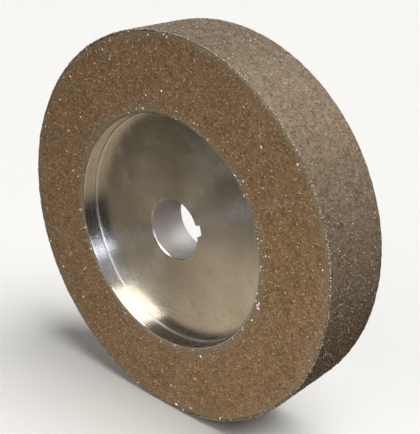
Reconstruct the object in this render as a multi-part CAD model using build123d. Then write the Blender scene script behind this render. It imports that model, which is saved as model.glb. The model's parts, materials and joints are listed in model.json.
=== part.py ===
from build123d import *
import os

# Diamond grinding wheel: a turned metal core with a layer of plated diamond on its front
# face and another round its rim. Millimetres. The wheel stands upright and spins about Y.
# The origin is the wheel's centre, halfway across its width, and the front face looks
# along -Y. The rear face looks along +Y, where the machine is.

# Driving dimensions
WHEEL_DIAMETER = 203.2
WHEEL_WIDTH = 41.3
ABRASIVE_THICKNESS = 0.9
FACE_CORNER_RADIUS = 0.3        # inner edge of the face layer, round the mouth of the recess
RIM_CORNER_RADIUS = 0.4         # both outer edges of the rim layer

FRONT_RECESS_DIAMETER = 122.2
FRONT_RECESS_DEPTH = 8.0
REAR_RECESS_DIAMETER = 122.2
WEB_THICKNESS = 22.2            # at the hub; the web falls away towards the recess walls
WEB_FALL = 1.2                  # how much deeper each recess is at its wall than at the hub
WEB_BREAK_DIAMETER = 92.5       # where the flat hub and the slope beyond it would meet
WEB_BREAK_RADIUS = 350.0        # the broad curve that joins them
RECESS_CORNER_RADIUS = 1.0      # tool-nose radius between a recess wall and the web
LIP_CHAMFER = 0.4               # bare bevel round the mouth of each recess
LIP_LAND = 0.5                  # bare flat ring between that bevel and the face layer
REAR_EDGE_CHAMFER = 0.5         # rear outer edge of the core

BORE_DIAMETER = 31.75
BORE_CHAMFER = 0.6
KEYWAY_WIDTH = 6.35
KEYWAY_DEPTH = 3.18             # from the bore's wall to the keyway's floor
KEYWAY_FLOOR_RADIUS = 0.4
KEYWAY_ANGLE = 12.0             # from +X towards +Z, in degrees

# Worked out from them
OUTER_RADIUS = WHEEL_DIAMETER / 2
CORE_RADIUS = OUTER_RADIUS - ABRASIVE_THICKNESS
BORE_RADIUS = BORE_DIAMETER / 2
FRONT_Y = -WHEEL_WIDTH / 2
REAR_Y = WHEEL_WIDTH / 2
CORE_FRONT_Y = FRONT_Y + ABRASIVE_THICKNESS
WEB_FRONT_Y = FRONT_Y + FRONT_RECESS_DEPTH
WEB_REAR_Y = WEB_FRONT_Y + WEB_THICKNESS
FRONT_WALL_RADIUS = FRONT_RECESS_DIAMETER / 2
REAR_WALL_RADIUS = REAR_RECESS_DIAMETER / 2
FACE_INNER_RADIUS = FRONT_WALL_RADIUS + LIP_CHAMFER + LIP_LAND

SHARP = 0.0


def turned(*corners):
    """The solid that a closed outline sweeps round Y. A corner is (radius, y, rounding)."""
    outline = FilletPolyline(
        *[(radius, y) for radius, y, _ in corners],
        radius=[rounding for _, _, rounding in corners],
        close=True,
    )
    return revolve(make_face(outline), Axis.Y)


def keyway():
    """The slot that a square key slides in, cut outwards from the bore's axis."""
    slot = Box(
        BORE_RADIUS + KEYWAY_DEPTH,
        WHEEL_WIDTH,
        KEYWAY_WIDTH,
        align=(Align.MIN, Align.CENTER, Align.CENTER),
    )
    floor_corners = slot.edges().filter_by(Axis.Y).group_by(Axis.X)[-1]
    return Rot(0, -KEYWAY_ANGLE, 0) * fillet(floor_corners, KEYWAY_FLOOR_RADIUS)


def wheel_core():
    """The turned body: web, bore, a recess in each side, and the ring under the abrasive."""
    body = turned(
        (BORE_RADIUS, WEB_FRONT_Y + BORE_CHAMFER, SHARP),
        (BORE_RADIUS + BORE_CHAMFER, WEB_FRONT_Y, SHARP),
        (WEB_BREAK_DIAMETER / 2, WEB_FRONT_Y, WEB_BREAK_RADIUS),
        (FRONT_WALL_RADIUS, WEB_FRONT_Y + WEB_FALL, RECESS_CORNER_RADIUS),
        (FRONT_WALL_RADIUS, CORE_FRONT_Y + LIP_CHAMFER, SHARP),
        (FRONT_WALL_RADIUS + LIP_CHAMFER, CORE_FRONT_Y, SHARP),
        (CORE_RADIUS, CORE_FRONT_Y, SHARP),
        (CORE_RADIUS, REAR_Y - REAR_EDGE_CHAMFER, SHARP),
        (CORE_RADIUS - REAR_EDGE_CHAMFER, REAR_Y, SHARP),
        (REAR_WALL_RADIUS + LIP_CHAMFER, REAR_Y, SHARP),
        (REAR_WALL_RADIUS, REAR_Y - LIP_CHAMFER, SHARP),
        (REAR_WALL_RADIUS, WEB_REAR_Y - WEB_FALL, RECESS_CORNER_RADIUS),
        (WEB_BREAK_DIAMETER / 2, WEB_REAR_Y, WEB_BREAK_RADIUS),
        (BORE_RADIUS + BORE_CHAMFER, WEB_REAR_Y, SHARP),
        (BORE_RADIUS, WEB_REAR_Y - BORE_CHAMFER, SHARP),
    )
    return body - keyway()


def face_abrasive():
    """The flat ring of plated diamond on the front face."""
    return turned(
        (FACE_INNER_RADIUS, FRONT_Y, FACE_CORNER_RADIUS),
        (CORE_RADIUS, FRONT_Y, SHARP),
        (CORE_RADIUS, CORE_FRONT_Y, SHARP),
        (FACE_INNER_RADIUS, CORE_FRONT_Y, SHARP),
    )


def rim_abrasive():
    """The hoop of plated diamond round the rim, as wide as the wheel."""
    return turned(
        (CORE_RADIUS, FRONT_Y, SHARP),
        (OUTER_RADIUS, FRONT_Y, RIM_CORNER_RADIUS),
        (OUTER_RADIUS, REAR_Y, RIM_CORNER_RADIUS),
        (CORE_RADIUS, REAR_Y, SHARP),
    )


def write_parts():
    os.makedirs("parts", exist_ok=True)
    for make in (wheel_core, face_abrasive, rim_abrasive):
        export_step(make(), f"parts/{make.__name__}.step")


write_parts()
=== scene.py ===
import json
import math

import bmesh
import bpy
import numpy as np
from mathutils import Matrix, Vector


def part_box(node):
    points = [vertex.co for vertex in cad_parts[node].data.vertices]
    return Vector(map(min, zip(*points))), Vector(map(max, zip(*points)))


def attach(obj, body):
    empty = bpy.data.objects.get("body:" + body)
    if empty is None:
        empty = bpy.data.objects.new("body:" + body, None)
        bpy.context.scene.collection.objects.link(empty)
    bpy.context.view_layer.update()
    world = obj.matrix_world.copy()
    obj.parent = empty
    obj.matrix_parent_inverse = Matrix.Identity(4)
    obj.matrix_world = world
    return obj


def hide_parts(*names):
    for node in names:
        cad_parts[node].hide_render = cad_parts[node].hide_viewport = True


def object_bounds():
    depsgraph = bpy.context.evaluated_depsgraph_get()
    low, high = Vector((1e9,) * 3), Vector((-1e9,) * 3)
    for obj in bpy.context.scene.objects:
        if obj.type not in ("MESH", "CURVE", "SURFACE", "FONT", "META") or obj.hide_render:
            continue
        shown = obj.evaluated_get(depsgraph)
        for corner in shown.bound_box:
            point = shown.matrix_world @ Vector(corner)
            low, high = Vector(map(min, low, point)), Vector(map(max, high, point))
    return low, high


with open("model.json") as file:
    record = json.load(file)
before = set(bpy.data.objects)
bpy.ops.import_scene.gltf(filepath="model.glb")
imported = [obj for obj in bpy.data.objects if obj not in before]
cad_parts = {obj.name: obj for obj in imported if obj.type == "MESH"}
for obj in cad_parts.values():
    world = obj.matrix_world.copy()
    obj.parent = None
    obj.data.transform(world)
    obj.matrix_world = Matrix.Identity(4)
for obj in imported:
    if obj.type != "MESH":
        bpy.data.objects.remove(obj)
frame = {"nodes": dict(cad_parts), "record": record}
cad_low, cad_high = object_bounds()

MM = 0.001


def mount(name):
    return next(m for m in frame["record"]["mounts"] if m["name"] == name)


def radii_of(node):
    """The smallest and largest distance of a CAD node's corners from the spin axis."""
    radii = [math.hypot(v.co.x, v.co.z) for v in frame["nodes"][node].data.vertices]
    return min(radii), max(radii)


# Measures taken from the frame
FRONT_Y, REAR_Y = cad_low.y, cad_high.y
OUTER_RADIUS = min(cad_high.x, cad_high.z, -cad_low.x, -cad_low.z)
FACE_INNER_RADIUS, CORE_RADIUS = radii_of("face_abrasive")
CORE_FRONT_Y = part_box("face_abrasive")[1].y
WEB_FRONT_Y = mount("front_flange_seat")["pos_m"][1]
WEB_REAR_Y = mount("rear_flange_seat")["pos_m"][1]
BORE_RADIUS = mount("arbor_bore")["dims"]["r_mm"] * MM
FLOOR_Z = cad_low.z

# The core's finer shape, as in the CAD part
RECESS_WALL_RADIUS = 61.1 * MM
RECESS_CORNER_RADIUS = 1.0 * MM
WEB_FALL = 1.2 * MM             # how much deeper a recess is at its wall than at the hub
HUB_RADIUS = 32.0 * MM          # the flat middle of the web
LIP_CHAMFER = 0.4 * MM
BORE_CHAMFER = 0.6 * MM
REAR_EDGE_CHAMFER = 0.5 * MM
KEYWAY_WIDTH = 6.35 * MM
KEYWAY_DEPTH = 3.18 * MM
KEYWAY_ANGLE = math.radians(12)
TOOL_MARK_SPACING = 0.9 * MM    # of the boring tool's marks on the recess walls
TOOL_MARK_DEPTH = 0.025 * MM
TURNED, BURNISHED, BORED = range(3)     # the core's metals, by material index

# The abrasive layers
GRAIN_SIZE = 1.48 * MM          # of the ball that a crystal's corners lie on, before it varies
GRAIN_SPACING = 1.54 * MM
GRAIN_SUNK = 0.24 * MM          # how far a clump's lowest grains lie under its highest
BOND_DEPTH = 0.30 * MM          # from the tips of the highest grains down to the bond
BOND_ROUGHNESS = 0.10 * MM      # how deep its finest dips go
BOND_STEP = 0.62 * MM           # size of the bond mesh's faces
CLUMP_DEPTH = 0.17 * MM         # how far bond and grains dip between the clumps, besides that
CORNER_INSET = 0.15 * MM        # of the row of grains on the front corner
CORNER_GAP = 0.75 * MM          # from the front corner to the other grains' middles, at least
MOUTH_GAP = 0.30 * MM           # from the face layer's inner edge to a grain's middle, at least
CLUMPING = 0.54                 # how far a grain's sort depends on its clump, and not on chance
GREY_WIDTH = 5.0 * MM           # of the greyer, paler bands along both edges of the face

STAGE_REACH = 12.0              # how far the floor goes, in metres

random = np.random.default_rng(84)


# ---------------------------------------------------------------- node helpers

def new_material(name):
    material = bpy.data.materials.new(name)
    material.use_nodes = True
    tree = material.node_tree
    return material, tree, tree.nodes["Principled BSDF"]


def add_node(tree, kind, **values):
    """A node with its properties or its inputs set by name; an input's spaces are underscores."""
    node = tree.nodes.new(kind)
    for name, value in values.items():
        if hasattr(node, name):
            setattr(node, name, value)
        else:
            node.inputs[name.replace("_", " ")].default_value = value
    return node


def connect(tree, node, *values):
    """Feeds a node's first inputs with sockets or with plain numbers, and returns its output."""
    for socket, value in zip(node.inputs, values):
        if isinstance(value, bpy.types.NodeSocket):
            tree.links.new(value, socket)
        else:
            socket.default_value = value
    return node.outputs[0]


def maths(tree, operation, first, second=0.0):
    return connect(tree, add_node(tree, "ShaderNodeMath", operation=operation), first, second)


def weighted(tree, *terms):
    """The sum of sockets, each times its own weight."""
    total = maths(tree, "MULTIPLY", *terms[0])
    for socket, weight in terms[1:]:
        total = maths(tree, "ADD", total, maths(tree, "MULTIPLY", socket, weight))
    return total


def ramp(tree, factor, *stops):
    """A colour ramp; each stop is (position, colour), a colour being a grey or three numbers."""
    node = tree.nodes.new("ShaderNodeValToRGB")
    elements = node.color_ramp.elements
    while len(elements) < len(stops):
        elements.new(0.5)
    for element, (position, colour) in zip(elements, stops):
        element.position = position
        grey = isinstance(colour, (int, float))
        element.color = (colour, colour, colour, 1) if grey else (*colour, 1)
    return connect(tree, node, factor)


def noise(tree, vector, scale, detail=2.0, roughness=0.5):
    node = add_node(tree, "ShaderNodeTexNoise", Scale=scale, Detail=detail, Roughness=roughness)
    return connect(tree, node, vector)


def place(tree):
    """A point's position in the part's own frame, in metres."""
    return tree.nodes.new("ShaderNodeTexCoord").outputs["Object"]


def cylindrical(tree):
    """A point's x, y and z and its distance from the spin axis, in metres."""
    split = tree.nodes.new("ShaderNodeSeparateXYZ")
    tree.links.new(place(tree), split.inputs[0])
    x, y, z = split.outputs
    squares = maths(tree, "ADD", maths(tree, "MULTIPLY", x, x), maths(tree, "MULTIPLY", z, z))
    return x, y, z, maths(tree, "SQRT", squares)


def ring_coordinates(tree, rings_per_mm, around):
    """Coordinates that vary fast across the lathe's rings and slowly along them, without a seam."""
    x, y, z, radius = cylindrical(tree)
    across = maths(tree, "MULTIPLY", maths(tree, "ADD", radius, y), rings_per_mm / MM)
    return connect(
        tree, tree.nodes.new("ShaderNodeCombineXYZ"), across,
        maths(tree, "MULTIPLY", maths(tree, "DIVIDE", x, radius), around),
        maths(tree, "MULTIPLY", maths(tree, "DIVIDE", z, radius), around),
    )


def mixed(tree, factor, first, second):
    """The first colour, turning into the second one as the factor goes from 0 to 1."""
    mix = add_node(tree, "ShaderNodeMix", data_type="RGBA")
    tree.links.new(factor, mix.inputs["Factor"])
    for socket, colour in zip((mix.inputs[6], mix.inputs[7]), (first, second)):
        if isinstance(colour, bpy.types.NodeSocket):
            tree.links.new(colour, socket)
        else:
            socket.default_value = (*colour, 1)
    return mix.outputs[2]


def add_bump(tree, shader, height, strength, distance):
    bump = add_node(tree, "ShaderNodeBump", Strength=strength, Distance=distance)
    tree.links.new(height, bump.inputs["Height"])
    tree.links.new(bump.outputs["Normal"], shader.inputs["Normal"])


# ------------------------------------------------------------------- materials

def turned_metal(name, dark, light, smooth, rough, stretch):
    """Lathe-turned metal: rings about the spin axis, stains, and highlights drawn out across them."""
    material, tree, shader = new_material(name)
    shader.inputs["Metallic"].default_value = 1.0
    shader.inputs["Anisotropic"].default_value = stretch
    shader.inputs["Anisotropic Rotation"].default_value = 0.25
    tangent = add_node(tree, "ShaderNodeTangent", direction_type="RADIAL", axis="Y")
    tree.links.new(tangent.outputs[0], shader.inputs["Tangent"])

    fine_rings = noise(tree, ring_coordinates(tree, 4.0, 1.5), 1.0, detail=3.0, roughness=0.7)
    broad_rings = noise(tree, ring_coordinates(tree, 0.7, 1.2), 1.0, detail=2.0)
    stains = noise(tree, place(tree), 42.0, detail=5.0, roughness=0.62)
    smudges = noise(tree, place(tree), 130.0, detail=3.0, roughness=0.55)

    tone = weighted(tree, (stains, 0.88), (broad_rings, 0.12))
    tree.links.new(ramp(tree, tone, (0.38, dark), (0.58, light)), shader.inputs["Base Color"])
    scratched = ramp(tree, fine_rings, (0.50, 0.0), (0.76, 1.0))
    handled = ramp(tree, smudges, (0.54, 0.0), (0.72, 1.0))
    roughness = weighted(tree, (scratched, rough - smooth), (handled, 0.05), (stains, 0.06))
    tree.links.new(maths(tree, "ADD", roughness, smooth), shader.inputs["Roughness"])
    add_bump(tree, shader, weighted(tree, (fine_rings, 0.25), (broad_rings, 0.75)), 0.02, 0.02 * MM)
    return material


def face_edge_greyness(tree):
    """1 at the mouth of the recess and at the outer corner of the face, and 0 between them."""
    radius = cylindrical(tree)[3]
    from_mouth = maths(tree, "SUBTRACT", radius, FACE_INNER_RADIUS)
    from_corner = maths(tree, "SUBTRACT", OUTER_RADIUS, radius)
    from_edge = maths(tree, "MINIMUM", from_mouth, from_corner)
    return ramp(tree, maths(tree, "DIVIDE", from_edge, GREY_WIDTH), (0.0, 1.0), (1.0, 0.0))


def plated_bond(name, dark, light, edge=None):
    """The nickel that holds the grains: dull, brownish and uneven, with an edge colour if given."""
    material, tree, shader = new_material(name)
    shader.inputs["Metallic"].default_value = 0.45
    fine = noise(tree, place(tree), 650.0, detail=1.5)
    clumps = noise(tree, place(tree), 260.0, detail=2.0)
    broad = noise(tree, place(tree), 45.0, detail=4.0, roughness=0.6)
    mottle = weighted(tree, (fine, 0.50), (clumps, 0.32), (broad, 0.18))
    colour = ramp(tree, mottle, (0.36, dark), (0.62, light))
    if edge:
        colour = mixed(tree, face_edge_greyness(tree), colour, edge)
    tree.links.new(colour, shader.inputs["Base Color"])
    dullness = maths(tree, "ADD", maths(tree, "MULTIPLY", fine, 0.3), 0.36)
    tree.links.new(dullness, shader.inputs["Roughness"])
    add_bump(tree, shader, fine, 0.5, 0.10 * MM)
    return material


def grain_sorts(zone, *sorts):
    """The sorts of grain in a zone, which differ in tint and gloss, as (name, share, material).

    A share is how much of the scale of luck in grain_pieces a sort takes up. It isn't the sort's
    part of the grains, because luck falls more often near the middle of that scale.
    """
    made = []
    for name, share, index, roughness, colour in sorts:
        material, _, shader = new_material(f"{zone}_{name}_diamond")
        shader.inputs["Base Color"].default_value = (*colour, 1)
        shader.inputs["Roughness"].default_value = roughness
        shader.inputs["IOR"].default_value = index
        made.append((name, share, material))
    return made


# -------------------------------------------------------------------- geometry

def new_piece(name, points, faces, *materials):
    mesh = bpy.data.meshes.new(name)
    mesh.from_pydata(points, [], faces)
    mesh.update()
    for material in materials:
        mesh.materials.append(material)
    piece = bpy.data.objects.new(name, mesh)
    bpy.context.scene.collection.objects.link(piece)
    return piece


def on_wheel(radius, y, angle):
    """Points from their distance to the axis, their place along it and their angle round it."""
    radius, y, angle = np.broadcast_arrays(radius, y, angle)
    return np.stack([radius * np.cos(angle), y, radius * np.sin(angle)], axis=-1)


def even_turn(segments):
    return np.arange(segments) * 2 * math.pi / segments


def closed_faces(segments, count):
    """Four-sided faces of a grid of points that closes on itself both ways."""
    turn, step = np.meshgrid(np.arange(segments), np.arange(count), indexing="ij")
    next_turn, next_step = (turn + 1) % segments, (step + 1) % count
    return np.stack([
        turn * count + step,
        turn * count + next_step,
        next_turn * count + next_step,
        next_turn * count + step,
    ], axis=-1).reshape(-1, 4)


def arc(centre, radius, start, end, steps):
    """Points of an arc in the (radius, y) plane, angles in degrees from the outward radius."""
    angles = np.radians(np.linspace(start, end, steps + 1))
    return [(centre[0] + radius * math.cos(a), centre[1] + radius * math.sin(a)) for a in angles]


def line(start, end, step):
    """Points from start up to, but without, end, about a step apart."""
    start, end = np.array(start), np.array(end)
    count = max(1, round(float(np.linalg.norm(end - start)) / step))
    return [tuple(start + (end - start) * i / count) for i in range(count)]


def shade_smooth(piece, sharp_degrees):
    piece.data.shade_smooth()
    piece.data.set_sharp_from_angle(angle=math.radians(sharp_degrees))


def keyway_radius(offsets):
    """The keyway's outline at angles from its middle, as a distance from the axis, or 0 beside it."""
    half, floor = KEYWAY_WIDTH / 2, BORE_RADIUS + KEYWAY_DEPTH
    offsets = np.abs(offsets)
    flank = half / np.sin(np.maximum(offsets, 0.01))
    outline = np.minimum(floor / np.cos(offsets), flank)
    return np.where(offsets <= math.asin(half / BORE_RADIUS) + 1e-9, outline, 0)


def keyed_turn(segments):
    """Angles from the keyway's middle, with one on each of its corners, once round."""
    half = KEYWAY_WIDTH / 2
    angles = even_turn(segments) - math.pi
    corners = (
        math.atan2(half, BORE_RADIUS + KEYWAY_DEPTH),
        math.asin(half / (BORE_RADIUS + BORE_CHAMFER)),
        math.asin(half / BORE_RADIUS),
    )
    for corner in corners:
        for side in (-corner, corner):
            angles[np.abs(angles - side).argmin()] = side
    return angles


def tool_marks(first_y, last_y):
    """Points along a recess wall, out by a hair here and there where the boring tool dwelt."""
    count = round(abs(last_y - first_y) / TOOL_MARK_SPACING)
    heights = np.linspace(first_y, last_y, count + 1)[1:-1]
    heights = heights + random.uniform(-0.3, 0.3, len(heights)) * TOOL_MARK_SPACING
    radii = RECESS_WALL_RADIUS + random.uniform(0, TOOL_MARK_DEPTH, len(heights))
    return list(zip(radii, heights))


def make_core(turned, burnished, bored):
    """The turned metal body, with rounded recess corners, bevelled edges and the keyway."""
    bore, wall, corner = BORE_RADIUS, RECESS_WALL_RADIUS, RECESS_CORNER_RADIUS
    front_corner = (wall - corner, WEB_FRONT_Y + WEB_FALL - corner)
    rear_corner = (wall - corner, WEB_REAR_Y - WEB_FALL + corner)
    slope = [
        (HUB_RADIUS + (wall - corner - HUB_RADIUS) * share, WEB_FALL * share ** 2)
        for share in np.linspace(0, 0.95, 12)
    ]
    profile = np.array([
        (bore, WEB_FRONT_Y + BORE_CHAMFER),
        (bore + BORE_CHAMFER, WEB_FRONT_Y),
        *[(radius, WEB_FRONT_Y + fall) for radius, fall in slope],
        *arc(front_corner, corner, 90, 0, steps=6),
        *tool_marks(front_corner[1], CORE_FRONT_Y + LIP_CHAMFER),
        (wall, CORE_FRONT_Y + LIP_CHAMFER),
        (wall + LIP_CHAMFER, CORE_FRONT_Y),
        (CORE_RADIUS, CORE_FRONT_Y),
        (CORE_RADIUS, REAR_Y - REAR_EDGE_CHAMFER),
        (CORE_RADIUS - REAR_EDGE_CHAMFER, REAR_Y),
        (wall + LIP_CHAMFER, REAR_Y),
        (wall, REAR_Y - LIP_CHAMFER),
        *tool_marks(REAR_Y - LIP_CHAMFER, rear_corner[1]),
        *arc(rear_corner, corner, 0, -90, steps=6),
        *[(radius, WEB_REAR_Y - fall) for radius, fall in reversed(slope)],
        (bore + BORE_CHAMFER, WEB_REAR_Y),
        (bore, WEB_REAR_Y - BORE_CHAMFER),
    ])
    offsets = keyed_turn(segments=720)
    radii = np.maximum(profile[None, :, 0], keyway_radius(offsets)[:, None])
    points = on_wheel(radii, profile[None, :, 1], (offsets + KEYWAY_ANGLE)[:, None])
    metals = (turned, burnished, bored)
    core = new_piece("turned_core", points.reshape(-1, 3), closed_faces(*radii.shape), *metals)
    finish = np.full(len(profile), TURNED, np.int32)
    finish[[0, -2]] = BURNISHED     # the bore's two bevels
    finish[-1] = BORED
    rounding_room = 1.01
    for centre in (front_corner, rear_corner):
        on_arc = np.hypot(*(profile - centre).T) < corner * rounding_room
        finish[on_arc & np.roll(on_arc, -1)] = BURNISHED
    core.data.polygons.foreach_set("material_index", np.tile(finish, len(offsets)))
    shade_smooth(core, sharp_degrees=20)
    return core


# The waves whose sum makes the clumps of grains, each with its own direction, length and phase
WAVES = 48
CLUMP_WAVES = random.normal(size=(WAVES, 3))
CLUMP_WAVES /= np.linalg.norm(CLUMP_WAVES, axis=1, keepdims=True)
CLUMP_WAVES *= 2 * math.pi / random.uniform(2.6 * MM, 6.5 * MM, (WAVES, 1))
CLUMP_PHASES = random.uniform(0, 2 * math.pi, WAVES)


def clumps(points):
    """A smooth random field over the wheel, from 0 between the clumps of grains to 1 on them."""
    waves = np.cos(points @ CLUMP_WAVES.T + CLUMP_PHASES).sum(axis=-1) / math.sqrt(WAVES / 2)
    return 0.5 + 0.5 * np.tanh(waves)


def bond_layer(name, profile, free_from, material):
    """A closed layer whose outer side, from profile point free_from onwards, is uneven."""
    profile = np.array(profile)
    angles = even_turn(round(2 * math.pi * OUTER_RADIUS / BOND_STEP))
    grid = on_wheel(profile[None, :, 0], profile[None, :, 1], angles[:, None])
    steps = np.roll(grid, -1, axis=1) - np.roll(grid, 1, axis=1)
    around = np.roll(grid, -1, axis=0) - np.roll(grid, 1, axis=0)
    inward = np.cross(around, steps)
    inward /= np.linalg.norm(inward, axis=2, keepdims=True)
    dips = random.random(grid.shape[:2]) * BOND_ROUGHNESS + (1 - clumps(grid)) * CLUMP_DEPTH
    dips[:, :free_from] = 0
    grid += inward * dips[..., None]
    piece = new_piece(name, grid.reshape(-1, 3), closed_faces(*grid.shape[:2]), material)
    shade_smooth(piece, sharp_degrees=180)
    return piece


def make_face_bond(material):
    top, foot = FRONT_Y + BOND_DEPTH, CORE_FRONT_Y
    inner, outer = FACE_INNER_RADIUS, CORE_RADIUS
    lean = 0.12 * MM                # of its inner edge, from the foot up to the bevel
    bevel_width, bevel_height = 0.33 * MM, 0.30 * MM
    profile = [
        (outer, foot),
        (inner, foot),
        (inner + lean, top + bevel_height),
        *line((inner + lean + bevel_width, top), (outer, top), BOND_STEP),
    ]
    return bond_layer("face_bond", profile, free_from=3, material=material)


def make_rim_bond(material):
    top = OUTER_RADIUS - BOND_DEPTH
    bead = 0.5 * MM                 # radius of its two rounded edges
    front = (top - bead, FRONT_Y + BOND_DEPTH + bead)
    rear = (top - bead, REAR_Y - bead)
    profile = [
        (CORE_RADIUS, REAR_Y),
        (CORE_RADIUS, front[1]),
        (CORE_RADIUS, FRONT_Y + BOND_DEPTH),
        *arc(front, bead, -90, 0, steps=4),
        *line((top, front[1] + 0.4 * MM), (top, rear[1]), BOND_STEP),
        *arc(rear, bead, 0, 90, steps=4),
    ]
    return bond_layer("rim_bond", profile, free_from=3, material=material)


def crystal_shapes(count, corners):
    """Irregular convex crystals in a ball one unit across, as arrays of points and of triangles."""
    thinnest = 0.62                 # along x, y or z, for a crystal to be kept
    shapes = []
    while len(shapes) < count:
        directions = random.normal(size=(corners, 3))
        directions /= np.linalg.norm(directions, axis=1, keepdims=True)
        mesh = bmesh.new()
        for direction in directions * 0.5:
            mesh.verts.new(direction)
        bmesh.ops.convex_hull(mesh, input=mesh.verts)
        mesh.verts.index_update()
        points = np.array([v.co for v in mesh.verts])
        triangles = np.array([[v.index for v in f.verts] for f in mesh.faces if len(f.verts) == 3])
        whole = len(points) == corners and len(triangles) == 2 * corners - 4
        thin = np.ptp(points, axis=0).min() < thinnest
        if whole and not thin:
            shapes.append((points, triangles))
        mesh.free()
    return shapes


def random_turns(count):
    """Rotation matrices, evenly spread over every direction."""
    w, x, y, z = random.normal(size=(4, count))
    size = np.sqrt(w * w + x * x + y * y + z * z)
    w, x, y, z = w / size, x / size, y / size, z / size
    return np.stack([
        1 - 2 * (y * y + z * z), 2 * (x * y - w * z), 2 * (x * z + w * y),
        2 * (x * y + w * z), 1 - 2 * (x * x + z * z), 2 * (y * z - w * x),
        2 * (x * z - w * y), 2 * (y * z + w * x), 1 - 2 * (x * x + y * y),
    ], axis=-1).reshape(count, 3, 3)


def scattered(first, last, radius_at):
    """Jittered rows of places (along, angle), a grain's spacing apart, from first to last."""
    jitter = 0.38 * GRAIN_SPACING
    rows = max(1, round((last - first) / GRAIN_SPACING))
    along, angles = [], []
    for row in range(rows):
        at = first + (row + 0.5) * (last - first) / rows
        count = round(2 * math.pi * radius_at(at) / GRAIN_SPACING)
        nudge = random.uniform(-jitter, jitter, (2, count))
        along.append(np.clip(at + nudge[0], first, last))
        angles.append(even_turn(count) + random.random() + nudge[1] / radius_at(at))
    return np.concatenate(along), np.concatenate(angles)


def grain_pieces(zone, tips, outward, sorts, pale=0.0, large=1.0):
    """One mesh for each sort of grain, of crystals that reach up to the tips.

    Luck picks a grain's sort, from the first sort between the clumps to the last one on them, and
    pale adds to it. The last sort's crystals are larger by the factor given.
    """
    count = len(tips)
    on_clump = clumps(tips)
    luck = random.random(count) * (1 - CLUMPING) + on_clump * CLUMPING + pale
    shares = np.cumsum([share for _, share, _ in sorts])
    kind = np.searchsorted(shares / shares[-1], luck, side="left").clip(max=len(sorts) - 1)

    shapes = crystal_shapes(count=24, corners=6)
    chosen = random.integers(len(shapes), size=count)
    sizes = GRAIN_SIZE * random.uniform(0.66, 1.12, count)
    sizes = sizes * np.where(kind == len(sorts) - 1, large, 1)
    stretch = random.uniform(0.85, 1.0, (count, 1, 3))
    points = np.stack([shapes[c][0] for c in chosen]) * sizes[:, None, None] * stretch
    points = np.einsum("nij,npj->npi", random_turns(count), points)
    height = np.einsum("npi,ni->np", points, outward).max(axis=1)
    sunk = random.random(count) ** 1.5 * GRAIN_SUNK + (1 - on_clump) * CLUMP_DEPTH
    points += (tips - outward * (height + sunk)[:, None])[:, None, :]
    points[..., 1] = np.clip(points[..., 1], FRONT_Y, REAR_Y)
    reach = np.hypot(points[..., 0], points[..., 2])
    points[..., (0, 2)] *= np.minimum(1, OUTER_RADIUS / reach)[..., None]
    triangles = np.stack([shapes[c][1] for c in chosen])

    pieces = []
    for index, (sort, _, material) in enumerate(sorts):
        mine = kind == index
        first = np.arange(mine.sum())[:, None, None] * points.shape[1]
        faces = (triangles[mine] + first).reshape(-1, 3)
        pieces.append(new_piece(f"{zone}_grit_{sort}", points[mine].reshape(-1, 3), faces, material))
    return pieces


def make_face_grit(sorts):
    """Grains all over the face, paler along the mouth of the recess and a little by the corner."""
    first, last = FACE_INNER_RADIUS + MOUTH_GAP, OUTER_RADIUS - CORNER_GAP
    radius, angle = scattered(first, last, lambda radius: radius)
    tips = on_wheel(radius, FRONT_Y, angle)
    outward = np.tile([0.0, -1.0, 0.0], (len(tips), 1))
    fade = GREY_WIDTH / 2
    by_mouth = np.exp(-(radius - first) / fade)
    by_corner = np.exp(-(last - radius) / fade)
    pale = 0.40 * by_mouth + 0.10 * by_corner
    return grain_pieces("face", tips, outward, sorts, pale, large=1.35)


def make_rim_grit(sorts):
    first, last = FRONT_Y + CORNER_GAP, REAR_Y - GRAIN_SIZE / 2
    y, angle = scattered(first, last, lambda y: OUTER_RADIUS)
    tips = on_wheel(OUTER_RADIUS, y, angle)
    outward = on_wheel(1.0, 0.0, angle)
    return grain_pieces("rim", tips, outward, sorts, large=1.25)


def make_corner_grit(sorts):
    """One row of grains along the front corner, standing out between the face and the rim."""
    spacing = 0.6 * GRAIN_SPACING
    count = round(2 * math.pi * OUTER_RADIUS / spacing)
    angle = even_turn(count) + random.uniform(-0.25, 0.25, count) * 2 * math.pi / count
    tips = on_wheel(OUTER_RADIUS - CORNER_INSET, FRONT_Y + CORNER_INSET, angle)
    outward = on_wheel(1.0, -1.0, angle) / math.sqrt(2)
    return grain_pieces("corner", tips, outward, sorts)


# ------------------------------------------------------------------- the stage

def add_camera():
    """In front of the wheel, to its right and a little above it."""
    azimuth, elevation = math.radians(42.3), math.radians(22.5)
    distance = 4.346 * OUTER_RADIUS
    aim_right, aim_up = 0.0968 * OUTER_RADIUS, 0.0268 * OUTER_RADIUS
    forward = Vector((
        -math.sin(azimuth) * math.cos(elevation),
        math.cos(azimuth) * math.cos(elevation),
        -math.sin(elevation),
    ))
    right = forward.cross(Vector((0, 0, 1))).normalized()
    aim = aim_right * right + aim_up * right.cross(forward)
    camera = bpy.data.objects.new("camera", bpy.data.cameras.new("camera"))
    camera.data.lens = 70.8
    camera.data.clip_start, camera.data.clip_end = 0.01, 100
    camera.location = aim - forward * distance
    camera.rotation_euler = forward.to_track_quat("-Z", "Y").to_euler()
    bpy.context.scene.collection.objects.link(camera)
    bpy.context.scene.camera = camera


def add_light(name, kind, towards, colour, energy):
    """A light at a place given from the wheel's centre, which shines back at that centre."""
    lamp = bpy.data.lights.new(name, kind)
    lamp.energy, lamp.color = energy, colour
    light = bpy.data.objects.new(name, lamp)
    light.location = towards
    light.rotation_euler = Vector(towards).to_track_quat("Z", "Y").to_euler()
    bpy.context.scene.collection.objects.link(light)
    return light


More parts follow.
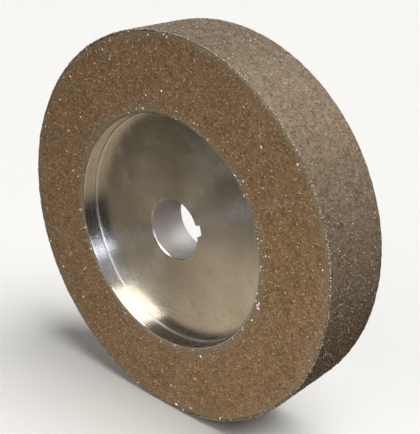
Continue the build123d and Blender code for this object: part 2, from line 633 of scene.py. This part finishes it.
def add_sun(name, towards, colour, strength, width_degrees):
    """A far light as wide in the sky as given. Only the direction of its place counts."""
    sun = add_light(name, "SUN", towards, colour, strength)
    sun.data.angle = math.radians(width_degrees)
    return sun


def add_lights():
    """Windows seen only in what is glossy, soft light only for what is dull, and one for both."""
    mirrored = [
        add_sun("front_window", (0.0, -0.69, 0.72), (1.0, 0.97, 0.91), 1.7, 36),
        add_sun("side_window", (0.60, -0.70, 0.38), (0.84, 0.86, 1.0), 0.19, 34),
        add_sun("blue_window", (0.66, -0.69, 0.27), (0.70, 0.74, 1.0), 0.19, 8),
        add_sun("back_window", (0.30, 0.94, 0.15), (1.0, 0.95, 0.88), 0.75, 80),
        add_sun("far_window", (0.247, -0.964, 0.006), (0.66, 0.74, 1.0), 0.62, 10),
    ]
    unseen = [
        add_sun("front_fill", (0.0, -0.69, 0.72), (1.0, 0.99, 0.97), 0.68, 36),
        add_sun("sky_fill", (0.41, 0.10, 0.91), (1.0, 0.985, 0.96), 3.0, 50),
        add_light("low_lamp", "AREA", (0.14, -0.30, -0.07), (1.0, 0.92, 0.82), 0.80),
    ]
    add_sun("skylight", (0.41, 0.10, 0.91), (0.93, 0.97, 1.0), 2.2, 50)
    low_lamp = unseen[-1].data
    low_lamp.shape, low_lamp.size = "DISK", 0.15
    for light in mirrored:
        light.visible_diffuse = False
    for light in unseen:
        light.visible_glossy = False


def add_stage_piece(name, points, faces, material):
    """A piece of the stage, which neither lights the wheel nor shows in its metal."""
    piece = new_piece(name, points, faces, material)
    piece.visible_glossy = False
    piece.visible_diffuse = False
    return piece


def add_floor():
    """A wide, plain, pale floor."""
    material, _, shader = new_material("pale_floor")
    shader.inputs["Base Color"].default_value = (0.53, 0.525, 0.515, 1)
    shader.inputs["Roughness"].default_value = 0.9
    square = STAGE_REACH * np.array([(-1, -1), (1, -1), (1, 1), (-1, 1)])
    corners = [(x, y, FLOOR_Z) for x, y in square]
    add_stage_piece("floor", corners, [(0, 1, 2, 3)], material)


def add_backdrop():
    """A plain pale wall round the floor, so that a low view has no dark horizon."""
    material, _, shader = new_material("pale_backdrop")
    shader.inputs["Base Color"].default_value = (0, 0, 0, 1)
    shader.inputs["Specular IOR Level"].default_value = 0
    shader.inputs["Emission Color"].default_value = (0.93, 0.92, 0.89, 1)
    shader.inputs["Emission Strength"].default_value = 1.0
    sides, radius = 96, 0.98 * STAGE_REACH
    foot, top = FLOOR_Z - 1, STAGE_REACH
    turn = even_turn(sides)
    ring = list(zip(radius * np.cos(turn), radius * np.sin(turn)))
    points = [(x, y, z) for z in (foot, top) for x, y in ring]
    faces = [(i, (i + 1) % sides, sides + (i + 1) % sides, sides + i) for i in range(sides)]
    backdrop = add_stage_piece("backdrop", points, faces, material)
    backdrop.visible_shadow = False


def add_surroundings():
    """Soft light from all round: a warm bench below, a dim room above, and a pale wall behind."""
    world = bpy.data.worlds.new("surroundings")
    bpy.context.scene.world = world
    world.use_nodes = True
    tree = world.node_tree
    split = tree.nodes.new("ShaderNodeSeparateXYZ")
    tree.links.new(tree.nodes.new("ShaderNodeTexCoord").outputs["Generated"], split.inputs[0])
    x, y, z = split.outputs
    height = maths(tree, "ADD", maths(tree, "MULTIPLY", z, 0.5), 0.5)
    room = ramp(
        tree, height,
        (0.135, (0.66, 0.53, 0.38)),
        (0.23, (0.67, 0.555, 0.415)),
        (0.29, (0.41, 0.345, 0.26)),
        (0.34, (0.022, 0.021, 0.011)),
        (0.44, (0.052, 0.048, 0.034)),
        (0.69, (0.11, 0.09, 0.07)),
    )
    # darker and browner to the right of the wheel and beyond it
    right = ramp(tree, maths(tree, "ADD", x, y), (0.06, 1.0), (0.5, (0.16, 0.11, 0.06)))
    darken = add_node(tree, "ShaderNodeVectorMath", operation="MULTIPLY")
    room = connect(tree, darken, room, right)

    # the bench lies in the wheel's shadow, except well in front of it, where y nears -1
    low = ramp(tree, maths(tree, "MULTIPLY", z, -1.0), (0.10, 0.0), (0.30, 0.85))
    not_in_front = ramp(tree, maths(tree, "ADD", y, 1.0), (0.45, 0.0), (0.65, 1.0))
    room = mixed(tree, maths(tree, "MULTIPLY", low, not_in_front), room, (0.03, 0.025, 0.018))

    # the pale wall behind
    behind = ramp(tree, y, (0.1, 0.0), (0.6, 1.0))
    high = ramp(tree, z, (0.2, 0.0), (0.5, 1.0))
    light = mixed(tree, maths(tree, "MULTIPLY", behind, high), room, (0.38, 0.38, 0.37))

    background = tree.nodes["Background"]
    tree.links.new(light, background.inputs["Color"])
    background.inputs["Strength"].default_value = 1.0


# ------------------------------------------------------------------- the scene

add_camera()
add_surroundings()
add_lights()
add_floor()
add_backdrop()

turned = turned_metal(
    "turned_metal", dark=(0.62, 0.59, 0.53), light=(0.74, 0.72, 0.67),
    smooth=0.21, rough=0.29, stretch=0.90,
)
burnished = turned_metal(
    "burnished_metal", dark=(0.68, 0.65, 0.60), light=(0.79, 0.76, 0.72),
    smooth=0.31, rough=0.39, stretch=0.30,
)
bored = turned_metal(
    "bored_metal", dark=(0.58, 0.545, 0.525), light=(0.66, 0.63, 0.61),
    smooth=0.56, rough=0.65, stretch=0.30,
)
core = make_core(turned, burnished, bored)
face_nickel = plated_bond(
    "face_nickel", dark=(0.17, 0.104, 0.048), light=(0.34, 0.232, 0.133), edge=(0.25, 0.215, 0.145),
)
# the rim's nickel is the face's nickel made darker and greyer: painted shade, and a painted sheen
# from the light above
rim_nickel = plated_bond("rim_nickel", dark=(0.112, 0.075, 0.042), light=(0.238, 0.177, 0.116))
face_bond = make_face_bond(face_nickel)
rim_bond = make_rim_bond(rim_nickel)
face_sorts = grain_sorts(
    "face",
    ("umber", 0.20, 1.7, 0.55, (0.190, 0.118, 0.058)),
    ("amber", 0.34, 1.7, 0.55, (0.305, 0.180, 0.088)),
    ("mauve", 0.21, 1.8, 0.55, (0.285, 0.230, 0.215)),
    ("straw", 0.20, 1.8, 0.50, (0.360, 0.290, 0.215)),
    ("clear", 0.05, 2.4, 0.32, (0.800, 0.770, 0.810)),
)
# the rim's grains are darker, greyer copies of the face's sorts: painted shade, and a painted sheen
# from the light above
shaded_rim_sorts = grain_sorts(
    "rim",
    ("umber", 0.16, 1.8, 0.50, (0.110, 0.078, 0.048)),
    ("amber", 0.36, 1.8, 0.46, (0.182, 0.129, 0.082)),
    ("mauve", 0.24, 1.8, 0.44, (0.182, 0.150, 0.134)),
    ("straw", 0.20, 1.8, 0.42, (0.236, 0.188, 0.142)),
    ("clear", 0.04, 1.8, 0.30, (0.300, 0.270, 0.250)),
)
corner_sorts = grain_sorts(
    "corner",
    ("mauve", 0.40, 1.8, 0.70, (0.225, 0.195, 0.150)),
    ("straw", 0.60, 1.8, 0.70, (0.290, 0.255, 0.190)),
)
face_grit = make_face_grit(face_sorts)
rim_grit = make_rim_grit(shaded_rim_sorts)
corner_grit = make_corner_grit(corner_sorts)

for piece, node, slot in (
    (core, "wheel_core", "turned_metal"),
    (face_bond, "face_abrasive", "plated_diamond_face"),
    (rim_bond, "rim_abrasive", "plated_diamond_rim"),
):
    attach(piece, "root")
    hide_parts(node)
for pieces, slot in (
    (face_grit, "plated_diamond_face"),
    (rim_grit, "plated_diamond_rim"),
    (corner_grit, "plated_diamond_rim"),
):
    for piece in pieces:
        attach(piece, "root")

bpy.context.scene.view_settings.view_transform = "Standard"

bpy.context.view_layer.update()
